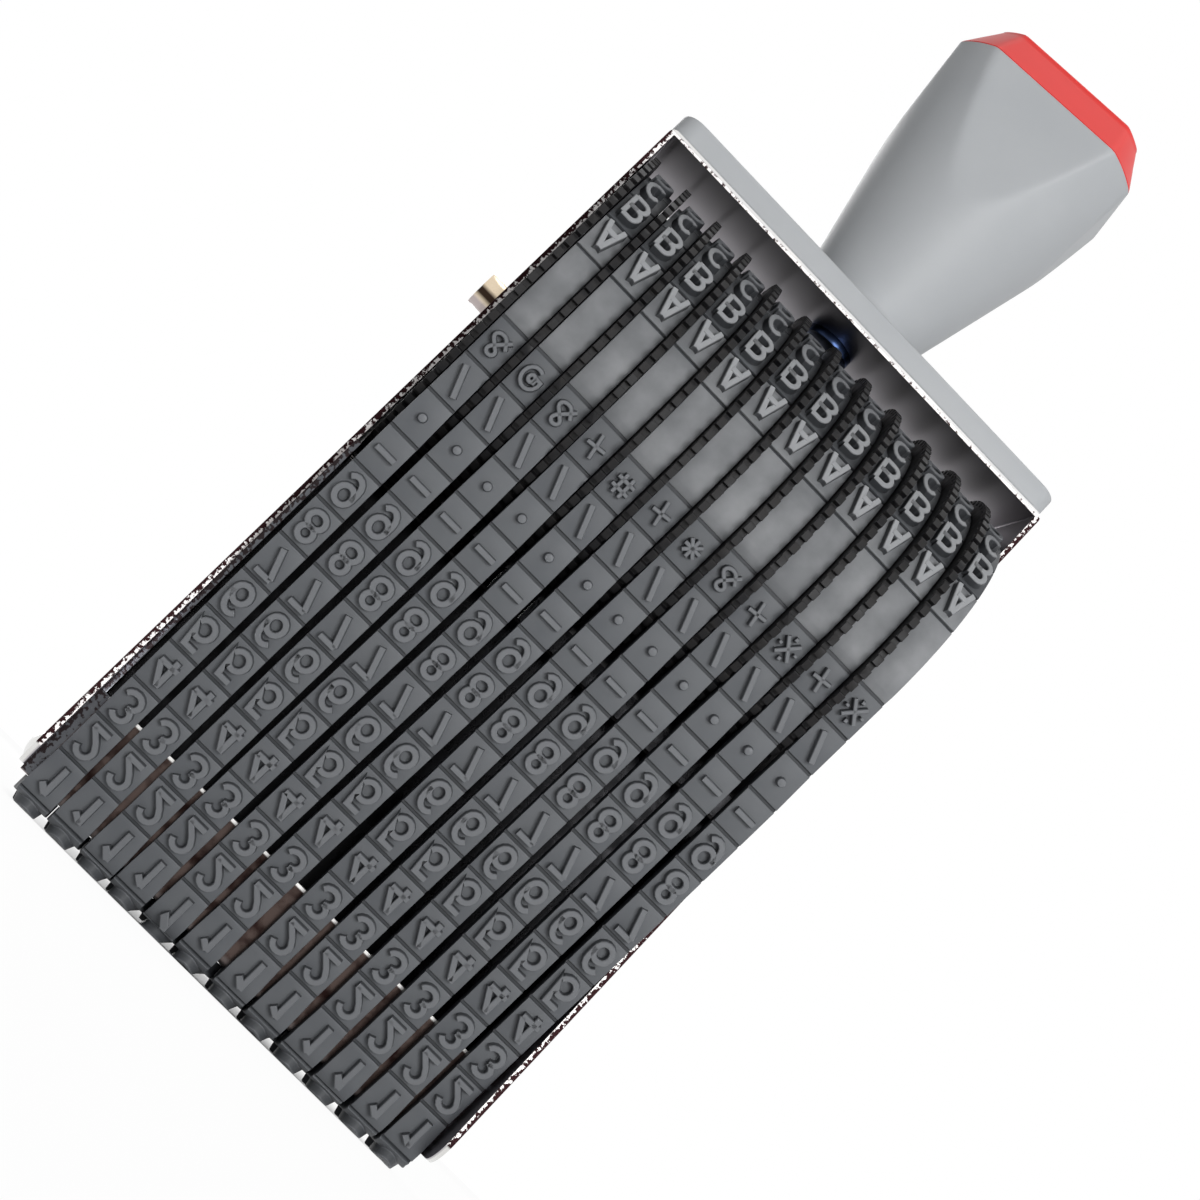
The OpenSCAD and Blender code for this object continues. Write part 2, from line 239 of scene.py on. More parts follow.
dress("frame", frame_plate, SHEET_EDGE)

# Platen: a channel folded from plain steel strip, with a side plate at each end inside the cheeks.
# Two rivets with domed heads hold it. The dark brown of its bare steel in the gaps between the bands is a
# painted reflection, with stains.
# A near-black strip along the top of its web stands in for shade and keeps light from showing through below
# the drums.
FLANGE_TOP, EDGE_TOP, PLATEN_T = 17.65 * MM, 4.9 * MM, 0.8 * MM
PLATEN_EDGE, RIVET_EDGE = 0.12 * MM, 0.08 * MM
# Outer line of the side plates: how far out it starts, and how it leans
LINE_FROM, LINE_LEAN = 2.94 * MM, 0.2416
# The shade lip's sizes are in millimetres
LIP_TOP, LIP_T, LIP_OUT, LIP_L, LIP_EDGE = 63.1, 0.6, 6.0, 70.0, 0.15
# The bare steel's dark brown is a painted reflection, and its darker smudges are stains
STEEL_REFLECTION_FINISH = ((0.085, 0.062, 0.055), (0.020, 0.010, 0.009), (0.20, 0.38), 0.03 * MM, 420.0)
SHADE_LIP_FINISH = ((0.020, 0.019, 0.019), (0.010, 0.009, 0.009), (0.45, 0.60), 0.02 * MM, 420.0)
# Painted highlights on the flanges' tops and lower edge, and painted shade on the web
FLANGE_GLINT, LOWER_EDGE_HIGHLIGHT, WEB_SHADE = (0.95, 0.94, 0.92), (0.12, 0.10, 0.095), (0.014, 0.014, 0.015)
SIDE_BROWN, SIDE_GREY, SIDE_SPECK = (0.20, 0.15, 0.145), (0.100, 0.104, 0.113), (0.026, 0.020, 0.021)
SPECK_SCALE, SPECK_RANGE, SPECK_LEAN = 1700.0, (0.50, 0.56), (-0.06, 0.14)


def square_block(bm, size, middle):
    bmesh.ops.create_cube(bm, size=1)
    bmesh.ops.scale(bm, vec=size, verts=bm.verts)
    bmesh.ops.translate(bm, vec=middle, verts=bm.verts)


def round_edges(bm, edges, width, segments=2, clamp_overlap=False):
    bmesh.ops.bevel(bm, geom=edges, offset=width, offset_type="OFFSET", segments=segments, profile=0.5,
                    affect="EDGES", clamp_overlap=clamp_overlap, material=-1)


def finish_piece(bm, name, material, body, slot, *nodes):
    """Makes a mesh drawn in millimetres a piece that moves with a body and may stand for CAD nodes."""
    bmesh.ops.recalc_face_normals(bm, faces=bm.faces)
    bmesh.ops.scale(bm, vec=(MM, MM, MM), verts=bm.verts)
    mesh = bpy.data.meshes.new(name)
    bm.to_mesh(mesh)
    bm.free()
    mesh.materials.append(material)
    piece = bpy.data.objects.new(name, mesh)
    bpy.context.scene.collection.objects.link(piece)
    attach(piece, body)
    if nodes:
        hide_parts(*nodes)
    return piece


bare_steel, steel_tree, steel_shader, steel_colour = metal_finish("bare steel", *STEEL_REFLECTION_FINISH)
platen_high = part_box("platen")[1]
steel_height = place_axis(steel_tree, "Z")
out_front = off_centre(steel_tree, "Y")
along_axle = off_centre(steel_tree, "X")
# A painted highlight glints along the top of the flanges, and the lower edge is painted paler as a
# highlight
from_top = arithmetic(steel_tree, "SUBTRACT", steel_height, FLANGE_TOP)
from_top = arithmetic(steel_tree, "ABSOLUTE", from_top, 0.0)
at_top = ramp(steel_tree, from_top, 0.2 * MM, 0.4 * MM, 1.0, 0.0)
on_flange = ramp(steel_tree, out_front, 5 * MM, 6 * MM, 0.0, 1.0)
glint = arithmetic(steel_tree, "MULTIPLY", at_top, on_flange)
lower_edge_highlight = ramp(steel_tree, steel_height, EDGE_TOP - 0.5 * MM, EDGE_TOP, 1.0, 0.0)
# The side plates are brown, and along their outer lines grey with specks of rust, most at the cheeks
side_from, side_to = platen_high.x - 2.0 * PLATEN_T, platen_high.x - 1.9 * PLATEN_T
side_plate = ramp(steel_tree, along_axle, side_from, side_to, 0.0, 1.0)
side_specks = noise_node(steel_tree, object_place(steel_tree), SPECK_SCALE).outputs["Fac"]
to_cheek = ramp(steel_tree, along_axle, platen_high.x - 1.2 * PLATEN_T, platen_high.x, *SPECK_LEAN)
side_specks = arithmetic(steel_tree, "ADD", side_specks, to_cheek)
rusted = ramp(steel_tree, side_specks, *SPECK_RANGE, 0.0, 1.0)
side_paint = two_tones(steel_tree, rusted, SIDE_GREY, SIDE_SPECK)
line_at = arithmetic(steel_tree, "MULTIPLY", steel_height, LINE_LEAN)
line_at = arithmetic(steel_tree, "ADD", line_at, LINE_FROM)
within_line = arithmetic(steel_tree, "SUBTRACT", line_at, out_front)
at_line = ramp(steel_tree, within_line, 0.25 * MM, 0.40 * MM, 1.0, 0.0)
side_edge = arithmetic(steel_tree, "MULTIPLY", side_plate, at_line)
# The web is painted near-black as shade
web = ramp(steel_tree, out_front, 0.8 * MM, 1.2 * MM, 1.0, 0.0)
repaint(steel_tree, steel_shader, steel_colour, (glint, FLANGE_GLINT), (lower_edge_highlight, LOWER_EDGE_HIGHLIGHT),
        (side_plate, SIDE_BROWN), (side_edge, side_paint), (web, WEB_SHADE))
dress("platen", bare_steel, PLATEN_EDGE)
bright_plate = metal_finish("bright plate", *PLATE_FINISH)[0]
dress("platen_rivets", bright_plate, RIVET_EDGE, turned=True)
# A near-black strip on top of the web, as painted shade
shade_lip_steel = metal_finish("shade lip steel", *SHADE_LIP_FINISH)[0]
lip = bmesh.new()
square_block(lip, (LIP_L, LIP_OUT, LIP_T), (0, -LIP_OUT / 2, LIP_TOP - LIP_T / 2))
round_edges(lip, lip.edges, LIP_EDGE)
finish_piece(lip, "web_shade_lip", shade_lip_steel, "stamp", "platen_steel")

# Axle: a turned rod with a slotted head at the left and a slotted nut at the right, in dull brass plate.
# It passes through both cheeks, and a plain washer keeps each outer wheel off its cheek.
AXLE_EDGE, WASHER_EDGE = 0.10 * MM, 0.08 * MM
BRASS_FINISH = ((0.86, 0.73, 0.54), (0.70, 0.57, 0.42), (0.14, 0.26), 0.01 * MM)
# Painted reflection on the brass: a dark stripe, how far below the middle it lies, and grey under it
DARK_REFLECTION, DARK_REFLECTION_DROP = (0.035, 0.022, 0.015), 0.9 * MM
GREY_REFLECTION = (0.46, 0.40, 0.39)
brass_plate, brass_tree, brass_shader, brass_colour = metal_finish("brass plate", *BRASS_FINISH)
axle_low, axle_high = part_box("axle")
dark_reflection_z = (axle_low.z + axle_high.z) / 2 - DARK_REFLECTION_DROP
# A dark stripe below the middle, and grey under it, are a painted reflection on the brass
from_stripe = arithmetic(brass_tree, "SUBTRACT", place_axis(brass_tree, "Z"), dark_reflection_z)
either_way = arithmetic(brass_tree, "ABSOLUTE", from_stripe, 0.0)
stripe = ramp(brass_tree, either_way, 0.35 * MM, 0.95 * MM, 1.0, 0.0)
grey_reflection = ramp(brass_tree, from_stripe, -1.2 * MM, -0.7 * MM, 1.0, 0.0)
repaint(brass_tree, brass_shader, brass_colour, (stripe, DARK_REFLECTION), (grey_reflection, GREY_REFLECTION))
dress("axle", brass_plate, AXLE_EDGE, turned=True)
dress("axle_nut", brass_plate, AXLE_EDGE, turned=True)
dress("axle_washers", bare_steel, WASHER_EDGE, turned=True)

# Setting wheels: twelve black mouldings, each with a toothed rim beside the drum that drives its band.
# They turn freely on the axle, and dust from handling sits on the teeth.
# A thin black disc between each two stands still with the axle; it stands in for shade and keeps light from
# showing between the wheels.
WHEEL_COUNT, WHEEL_EDGE = 12, 0.07 * MM
# The shade discs' sizes are in millimetres
SHADE_DISC_T, SHADE_DISC_BORE_R, SHADE_DISC_R, SHADE_DISC_STEPS = 0.1, 2.1, 24.3, 72
# A moulded finish: two tones, range of roughness, scale of grain and tone, depth of the grain, gloss
BLACK_FINISH = ((0.005, 0.005, 0.006), (0.015, 0.014, 0.014), (0.42, 0.62), 1800.0, 420.0, 0.02 * MM, 0.2)
GRAIN_SCALE, TONE_SCALE, GRAIN_STRENGTH = 1500.0, 90.0, 0.25
GRAIN_DETAIL, TONE_DETAIL = 2.0, 4.0


def moulded_grain_group():
    """Fine grain of a moulded surface, and the slow change of tone over it."""
    group = bpy.data.node_groups.new("moulded grain", "ShaderNodeTree")
    add_socket(group, "Vector", "NodeSocketVector", "INPUT")
    add_socket(group, "Grain Scale", "NodeSocketFloat", "INPUT", GRAIN_SCALE)
    add_socket(group, "Tone Scale", "NodeSocketFloat", "INPUT", TONE_SCALE)
    add_socket(group, "Grain", "NodeSocketFloat", "OUTPUT")
    add_socket(group, "Tone", "NodeSocketFloat", "OUTPUT")
    start = add_node(group, "NodeGroupInput")
    end = add_node(group, "NodeGroupOutput")
    for scale, out, detail in (("Grain Scale", "Grain", GRAIN_DETAIL), ("Tone Scale", "Tone", TONE_DETAIL)):
        cloud = noise_node(group, start.outputs["Vector"], 1.0, detail)
        group.links.new(start.outputs[scale], cloud.inputs["Scale"])
        group.links.new(cloud.outputs["Fac"], end.inputs[out])
    return group


moulded_grain = moulded_grain_group()


def moulded_finish(name, first, second, rough, grain_scale, tone_scale, grain_depth, gloss=0.25):
    """Material of a moulded piece; returned with its tree, shader and colour."""
    material, tree, shader = new_finish(name)
    shader.inputs["Specular IOR Level"].default_value = gloss
    grain = add_node(tree, "ShaderNodeGroup", node_tree=moulded_grain)
    grain.inputs["Grain Scale"].default_value = grain_scale
    grain.inputs["Tone Scale"].default_value = tone_scale
    tree.links.new(object_place(tree), grain.inputs["Vector"])
    tone = grain.outputs["Tone"]
    colour = two_tones(tree, ramp(tree, tone, *NOISE_RANGE, 0.0, 1.0), first, second)
    tree.links.new(colour, shader.inputs["Base Color"])
    tree.links.new(ramp(tree, tone, *NOISE_RANGE, *rough), shader.inputs["Roughness"])
    tree.links.new(bump(tree, grain.outputs["Grain"], GRAIN_STRENGTH, grain_depth), shader.inputs["Normal"])
    return material, tree, shader, colour


black_plastic = moulded_finish("black plastic", *BLACK_FINISH)[0]
for number in range(1, WHEEL_COUNT + 1):
    dress(f"setting_wheel_{number:02d}", black_plastic, WHEEL_EDGE)
# Thin black discs between the wheels, standing in for shade
for number in range(1, WHEEL_COUNT):
    left_low, left_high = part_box(f"setting_wheel_{number:02d}")
    right_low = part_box(f"setting_wheel_{number + 1:02d}")[0]
    middle = Vector((left_high.x + right_low.x, 0, left_low.z + left_high.z)) / 2 / MM
    ring_middle = middle + Vector((0, (SHADE_DISC_R + SHADE_DISC_BORE_R) / 2, 0))
    shade_disc = bmesh.new()
    bmesh.ops.create_grid(shade_disc, x_segments=1, y_segments=1, size=0.5)
    bmesh.ops.scale(shade_disc, vec=(SHADE_DISC_T, SHADE_DISC_R - SHADE_DISC_BORE_R, 1), verts=shade_disc.verts)
    bmesh.ops.translate(shade_disc, vec=ring_middle, verts=shade_disc.verts)
    bmesh.ops.delete(shade_disc, geom=shade_disc.faces[:], context="FACES_ONLY")
    bmesh.ops.spin(shade_disc, geom=shade_disc.verts[:] + shade_disc.edges[:], cent=middle, axis=(1, 0, 0),
                   angle=2 * math.pi, steps=SHADE_DISC_STEPS, use_merge=True)
    finish_piece(shade_disc, f"wheel_shade_disc_{number:02d}", black_plastic, "stamp", "wheel_plastic")

# Type bands: twelve endless belts of grey rubber moulded flat, then joined to a loop at a plain splice.
# Each has a pad for every cell and a raised, mirror-written character on it; the wheel drives it by
# friction, and at the print end it bends round the platen. All sizes here are in millimetres.
BAND_W, BAND_SLACK, BELT_T, PAD_T = 4.6, 0.1, 1.0, 1.2
GROOVE_W, GROOVE_D, MOULD_EDGE = 0.45, 0.5, 0.14
CELLS, BLANK_AT, BLANK_CELLS, BEND_STEPS = 42, 14, 2, 6
SPLICE_SLOPE, SPLICE_DROP = 1.3, 0.3
PLATEN_Y, PLATEN_R = 3.0, 1.0
TYPE_H, TYPE_ROOT, TYPE_EDGE = 1.2, 0.15, 0.1
CHAR_W, CHAR_H, CHAR_STROKE, SLIM_STROKE = 3.2, 5.0, 0.75, 0.5
# How far the foot, shoulder and face of a stroke lie outside its half width
STROKE_OUT = (0.16, 0.02, -0.08)
DOT_R, DOT_TOP_R, DOT_SIDES = 0.72, 0.56, 14
# How far round its loop a band is set, and how it widens below the rims, at the platen and under it
BAND_SHIFT, BAND_SPREAD, EDGE_SPREAD, SQUEEZED_W = 1.2, 0.055, 0.085, 5.85
RIM_SHARE, RIM_FADE, EDGE_FROM = 0.8, 6.0, 0.93
# What counts as one level or one place, and how near points are welded
SAME_LEVEL, SAME_PLACE, WELD_NEAR = 0.01, 1e-3, 0.0005
PAD_FACE = BAND_SLACK + BELT_T + PAD_T
CELL_LINE = BAND_SLACK + BELT_T
band_low, band_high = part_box("type_band_01")
wheel_low, wheel_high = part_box("setting_wheel_01")
AXLE_Z = (wheel_low.z + wheel_high.z) / 2 / MM
DRUM_R = (band_high.y - band_low.y) / 2 / MM - PAD_FACE
PLATEN_Z = TYPE_H + PAD_FACE + PLATEN_R
drop = AXLE_Z - PLATEN_Z
centre_l = math.hypot(PLATEN_Y, drop)
RUN_TILT = math.atan2(drop, PLATEN_Y) - math.acos((DRUM_R - PLATEN_R) / centre_l)
RUN_L = math.sqrt(centre_l ** 2 - (DRUM_R - PLATEN_R) ** 2)
EDGE_L = (PLATEN_R + CELL_LINE) * (math.pi / 2 - RUN_TILT)
DRUM_L = (DRUM_R + CELL_LINE) * (math.pi / 2 + RUN_TILT)
LOOP_L = 2 * (PLATEN_Y + EDGE_L + RUN_L + DRUM_L)
CELL_L = LOOP_L / CELLS


def on_arc(y, z, radius, angle):
    return y - radius * math.cos(angle), z + radius * math.sin(angle)


def loop_place(s, d):
    """Depth and height of a place on the loop.

    s is the length from the middle of the platen up the front, and d how far out it is from what
    carries the band there.
    """
    s = s % LOOP_L
    side = 1.0
    if s > LOOP_L / 2:
        s = LOOP_L - s
        side = -1.0
    edge_s = s - PLATEN_Y
    run_s = edge_s - EDGE_L
    drum_s = run_s - RUN_L
    if edge_s <= 0:
        y, z = -s, PLATEN_Z - PLATEN_R - d
    elif run_s <= 0:
        y, z = on_arc(-PLATEN_Y, PLATEN_Z, PLATEN_R + d, edge_s / (PLATEN_R + CELL_LINE) - math.pi / 2)
    elif drum_s <= 0:
        y, z = on_arc(-PLATEN_Y, PLATEN_Z, PLATEN_R + d, -RUN_TILT)
        y -= run_s * math.sin(RUN_TILT)
        z += run_s * math.cos(RUN_TILT)
    else:
        y, z = on_arc(0, AXLE_Z, DRUM_R + d, drum_s / (DRUM_R + CELL_LINE) - RUN_TILT)
    return side * y, z


def on_run(s):
    from_platen = min(s % LOOP_L, LOOP_L - s % LOOP_L)
    return PLATEN_Y + EDGE_L < from_platen < PLATEN_Y + EDGE_L + RUN_L


def bow(x, y, rx, ry, start, end):
    """Points of an arc inside a character, from one angle to another in degrees."""
    steps = max(3, round(abs(end - start) / 24))
    turns = [math.radians(start + (end - start) * step / steps) for step in range(steps + 1)]
    return [(x + rx * math.cos(turn), y + ry * math.sin(turn)) for turn in turns]


def ring(x, y, rx, ry):
    return bow(x, y, rx, ry, 0, 360)


# Strokes of each character in a box of width 1 and height 1, drawn as a reader sees it printed
STEM = [(0, 0), (0, 1)]
UPPER_BOWL = [(0, 1), (0.5, 1), *bow(0.55, 0.75, 0.40, 0.25, 90, -90), (0, 0.5)]
STROKES = {
    "0": [[*bow(0.5, 0.71, 0.5, 0.29, 0, 180), *bow(0.5, 0.29, 0.5, 0.29, 180, 360), (1, 0.71)]],
    "1": [[(0.66, 0), (0.66, 1)], [(0.66, 0.96), (0.2, 0.77)]],
    "2": [[*bow(0.5, 0.71, 0.47, 0.29, 170, -20), (0.70, 0.40), (0.08, 0.03)], [(0, 0), (1, 0)]],
    "3": [bow(0.47, 0.75, 0.45, 0.25, 155, -85), bow(0.47, 0.265, 0.5, 0.265, 85, -160)],
    "4": [[(0.74, 0), (0.74, 1)], [(0.70, 0.97), (0.0, 0.30)], [(-0.05, 0.27), (1.05, 0.27)]],
    "5": [[(0.9, 1), (0.17, 1), (0.08, 0.46), *bow(0.48, 0.31, 0.5, 0.32, 125, -158)]],
    "6": [ring(0.5, 0.31, 0.47, 0.31), [(0.03, 0.31), *bow(0.53, 0.62, 0.5, 0.38, 180, 42)]],
    "7": [[(0, 1), (1, 1)], [(0.95, 0.97), (0.36, 0)]],
    "8": [ring(0.5, 0.755, 0.41, 0.245), ring(0.5, 0.265, 0.48, 0.265)],
    "9": [ring(0.5, 0.69, 0.47, 0.31), [(0.97, 0.69), *bow(0.47, 0.38, 0.5, 0.38, 0, -138)]],
    "-": [[(-0.1, 0.5), (1.1, 0.5)]],
    "/": [[(0.14, 0), (0.86, 1)]],
    "x": [[(0.36, 0.12), (0.64, 0.88)], [(0.0, 0.54), (1.0, 0.46)]],
    "#": [[(0.3, 0.16), (0.3, 0.84)], [(0.7, 0.16), (0.7, 0.84)],
          [(0, 0.36), (1, 0.36)], [(0, 0.64), (1, 0.64)]],
    "*": [[(0.5, 0.2), (0.5, 0.8)], [(0.02, 0.5), (0.98, 0.5)], [(0.14, 0.28), (0.86, 0.72)],
          [(0.14, 0.72), (0.86, 0.28)]],
    "&": [[(0.98, 0.16), (0.3, 0.62), *bow(0.47, 0.73, 0.23, 0.12, 190, -60), (0.16, 0.42),
           *bow(0.4, 0.31, 0.34, 0.15, 150, 320), (0.98, 0.46)]],
    "@": [ring(0.52, 0.5, 0.16, 0.11), [(0.72, 0.62), (0.72, 0.42), *bow(0.5, 0.5, 0.5, 0.34, -12, 300)]],
    "%": [[(0.08, 0.2), (0.92, 0.8)], [(0.08, 0.8), (0.92, 0.2)], [(0.42, 0.86), (0.58, 0.86)],
          [(0.42, 0.14), (0.58, 0.14)], [(0.0, 0.46), (0.0, 0.54)], [(1.0, 0.46), (1.0, 0.54)]],
    "A": [[(0, 0), (0.47, 1)], [(0.53, 1), (1, 0)], [(0.2, 0.34), (0.8, 0.34)]],
    "B": [STEM, UPPER_BOWL, [(0, 0.5), (0.5, 0.5), *bow(0.55, 0.25, 0.45, 0.25, 90, -90), (0, 0)]],
    "C": [bow(0.52, 0.5, 0.52, 0.5, 48, 312)],
    "D": [STEM, [(0, 1), (0.4, 1), *bow(0.44, 0.5, 0.56, 0.5, 90, -90), (0, 0)]],
    "E": [[(0.95, 1), (0, 1), (0, 0), (1, 0)], [(0, 0.52), (0.85, 0.52)]],
    "F": [[(0.95, 1), (0, 1), (0, 0)], [(0, 0.5), (0.8, 0.5)]],
    "G": [[*bow(0.52, 0.5, 0.52, 0.5, 48, 325), (1, 0.42), (0.6, 0.42)]],
    "H": [STEM, [(1, 0), (1, 1)], [(0, 0.5), (1, 0.5)]],
    "I": [[(0.5, 0), (0.5, 1)]],
    "J": [[(0.85, 1), *bow(0.45, 0.3, 0.4, 0.3, 0, -165)]],
    "K": [STEM, [(0.95, 1), (0.03, 0.4)], [(0.34, 0.6), (1, 0)]],
    "L": [[(0, 1), (0, 0), (0.95, 0)]],
    "M": [STEM, [(1, 0), (1, 1)], [(0.05, 0.97), (0.5, 0.3), (0.95, 0.97)]],
    "N": [STEM, [(1, 0), (1, 1)], [(0.04, 0.97), (0.96, 0.03)]],
    "O": [ring(0.5, 0.5, 0.52, 0.5)],
    "P": [STEM, UPPER_BOWL],
    "Q": [ring(0.5, 0.5, 0.52, 0.5), [(0.6, 0.26), (1, 0)]],
    "R": [STEM, UPPER_BOWL, [(0.45, 0.5), (1, 0)]],
    "S": [[*bow(0.5, 0.75, 0.46, 0.25, 25, 260), *bow(0.5, 0.26, 0.49, 0.26, 75, -155)]],
    "T": [[(0, 1), (1, 1)], [(0.5, 1), (0.5, 0)]],
    "U": [[(0, 1), *bow(0.5, 0.36, 0.5, 0.36, 180, 360), (1, 1)]],
    "V": [[(0, 1), (0.47, 0)], [(0.53, 0), (1, 1)]],
    "W": [[(0, 1), (0.25, 0.02)], [(0.27, 0.02), (0.5, 0.85)],
          [(0.5, 0.85), (0.73, 0.02)], [(0.75, 0.02), (1, 1)]],
    "X": [[(0, 0), (1, 1)], [(0, 1), (1, 0)]],
    "Y": [[(0, 1), (0.5, 0.46)], [(1, 1), (0.5, 0.46)], [(0.5, 0.5), (0.5, 0)]],
    "Z": [[(0, 1), (1, 1), (0, 0), (1, 0)]],
}
SMALL_SIGNS = "x#*&@%"


def stroke_section(stroke):
    """Section of a raised stroke as a flat curve: sloping walls, and a flat face with rounded edges."""
    foot, shoulder, face = (stroke / 2 + out for out in STROKE_OUT)
    outline = [(-foot, -TYPE_ROOT), (-shoulder, TYPE_H - TYPE_EDGE), (-face, TYPE_H),
               (face, TYPE_H), (shoulder, TYPE_H - TYPE_EDGE), (foot, -TYPE_ROOT)]
    curve = bpy.data.curves.new("stroke section", "CURVE")
    spline = curve.splines.new("POLY")
    spline.points.add(len(outline) - 1)
    for point, (x, y) in zip(spline.points, outline):
        point.co = (x, y, 0, 1)
    spline.use_cyclic_u = True
    section = bpy.data.objects.new("stroke section", curve)
    bpy.context.scene.collection.objects.link(section)
    return section


def dot_mesh():
    """The raised full stop: a round stud with a rounded rim."""
    dot = bmesh.new()
    bmesh.ops.create_cone(dot, cap_ends=True, segments=DOT_SIDES, radius1=DOT_R, radius2=DOT_TOP_R,
                          depth=TYPE_H + TYPE_ROOT)
    bmesh.ops.translate(dot, vec=(0, 0, (TYPE_H - TYPE_ROOT) / 2), verts=dot.verts)
    rim = [edge for edge in dot.edges if all(v.co.z > TYPE_H / 2 for v in edge.verts)]
    round_edges(dot, rim, MOULD_EDGE)
    mesh = bpy.data.meshes.new("character")
    dot.to_mesh(mesh)
    dot.free()
    return mesh


def character_mesh(character, section, stroke):
    """One raised character, lying flat with its foot at height 0, swept from its strokes."""
    curve = bpy.data.curves.new("character", "CURVE")
    curve.dimensions = "2D"
    curve.fill_mode = "NONE"
    curve.bevel_mode = "OBJECT"
    curve.bevel_object = section
    curve.use_fill_caps = True
    for points in STROKES[character]:
        closed = math.dist(points[0], points[-1]) < SAME_PLACE
        points = points[:-1] if closed else points
        spline = curve.splines.new("POLY")
        spline.points.add(len(points) - 1)
        for point, (x, y) in zip(spline.points, points):
            point.co = ((x - 0.5) * (CHAR_W - stroke), (y - 0.5) * (CHAR_H - stroke), 0, 1)
        spline.use_cyclic_u = closed
    shape = bpy.data.objects.new("character", curve)
    bpy.context.scene.collection.objects.link(shape)
    bpy.context.view_layer.update()
    mesh = bpy.data.meshes.new_from_object(shape.evaluated_get(bpy.context.evaluated_depsgraph_get()))
    bpy.data.objects.remove(shape)
    bpy.data.curves.remove(curve)
    return mesh


def of_kind(kind, grown):
    return [item for item in grown if isinstance(item, kind)]


def band_strip(bm, shift):
    """Belt and pads as a straight strip: x across, y along the loop, z out from the drum."""
    pads = []
    for cell in range(CELLS):
        if BLANK_AT < cell < BLANK_AT + BLANK_CELLS:
            continue
        length = (BLANK_CELLS if cell == BLANK_AT else 1) * CELL_L - GROOVE_W
        start = shift + (cell - 0.5) * CELL_L + GROOVE_W / 2
        straight = on_run(start) and on_run(start + length)
        steps = 1 if straight else BEND_STEPS * round(length / CELL_L)
        cuts = [start + length * step / steps for step in range(steps + 1)]
        if cell == BLANK_AT:
            cuts = sorted([*cuts, start + SPLICE_SLOPE])
        pads.append(cuts)
    half_w, seat = BAND_W / 2, PAD_FACE - GROOVE_D
    corners = [(-half_w, BAND_SLACK), (half_w, BAND_SLACK), (half_w, seat), (-half_w, seat)]
    section = [bm.verts.new((x, pads[0][0], z)) for x, z in corners]
    edges = [bm.edges.new((section[i], section[(i + 1) % 4])) for i in range(4)]
    pad_faces = []
    stations = [(s, step > 0) for pad in pads for step, s in enumerate(pad)]
    stations.append((pads[0][0] + LOOP_L, False))
    for s, on_pad in stations[1:]:
        grown = bmesh.ops.extrude_edge_only(bm, edges=edges)["geom"]
        for v in of_kind(BMVert, grown):
            v.co.y = s
        edges = [e for e in of_kind(BMEdge, grown) if all(abs(v.co.y - s) < SAME_PLACE for v in e.verts)]
        if on_pad:
            pad_faces += [f for f in of_kind(BMFace, grown)
                          if all(abs(v.co.z - seat) < SAME_PLACE for v in f.verts)]
    raised = bmesh.ops.extrude_face_region(bm, geom=pad_faces)["geom"]
    tops = set(of_kind(BMFace, raised))
    covered = [f for f in pad_faces if f.is_valid and f not in tops]
    bmesh.ops.delete(bm, geom=covered, context="FACES_ONLY")
    bmesh.ops.translate(bm, vec=(0, 0, GROOVE_D), verts=of_kind(BMVert, raised))
    rims = [e for e in bm.edges if sum(f in tops for f in e.link_faces) == 1]
    round_edges(bm, rims, MOULD_EDGE, clamp_overlap=True)


def clamp(value):
    return min(1.0, max(0.0, value))


def wrap_band(bm, shift, x_middle, wander):
    """Bends the flat strip round drum and platen, and notes how high and on which patch each point is.

    The splice's lower end slopes down, and its pale patch takes in the next cell too. Below the drum the
    band is pressed a little wider, and it wanders sideways more the nearer the platen it is. Under the
    platen it is squeezed until it nearly meets the next.
    """
    relief = bm.verts.layers.float.new("relief")
    splice = bm.verts.layers.float.new("splice")
    splice_from = shift + (BLANK_AT - 0.5) * CELL_L
    splice_to = splice_from + (BLANK_CELLS + 1) * CELL_L
    slope_from = splice_from + GROOVE_W / 2
    drum_foot = AXLE_Z - DRUM_R
    rim_foot = AXLE_Z - RIM_SHARE * DRUM_R
    for v in bm.verts:
        s, d = v.co.y, v.co.z
        v[relief] = (d - BAND_SLACK) / (PAD_FACE + TYPE_H - BAND_SLACK)
        v[splice] = float(splice_from < s < splice_to and d > PAD_FACE - GROOVE_D + SAME_LEVEL)
        d -= v[splice] * SPLICE_DROP * max(0.0, 1 - (s - slope_from) / SPLICE_SLOPE)
        y, z = loop_place(s, d)
        down = clamp((drum_foot - z) / (drum_foot - PLATEN_Z))
        sideways = wander * down * down * (3 - 2 * down)
        below_rims = clamp((rim_foot - z) / RIM_FADE)
        at_edge = max(0.0, (down - EDGE_FROM) / (1 - EDGE_FROM))
        spread = 1 + BAND_SPREAD * below_rims + EDGE_SPREAD * at_edge
        if z < PLATEN_Z - PLATEN_R and d < PAD_FACE + SAME_LEVEL:
            squeeze = clamp(2 - 2 * abs(y) / PLATEN_Y)
            spread += (SQUEEZED_W / BAND_W - spread) * squeeze
            sideways *= 1 - squeeze
        v.co = (x_middle + v.co.x * spread + sideways, y, z)
    bmesh.ops.remove_doubles(bm, verts=bm.verts, dist=WELD_NEAR)


def smooth_below(piece, degrees=35):
    """Soft shading across shallow edges, crisp across the others."""
    piece.data.shade_smooth()
    piece.data.set_sharp_from_angle(angle=math.radians(degrees))


RUBBER_FINISH = ((0.098, 0.104, 0.113), (0.116, 0.122, 0.130), (0.46, 0.60), 2600.0, 160.0, 0.012 * MM)
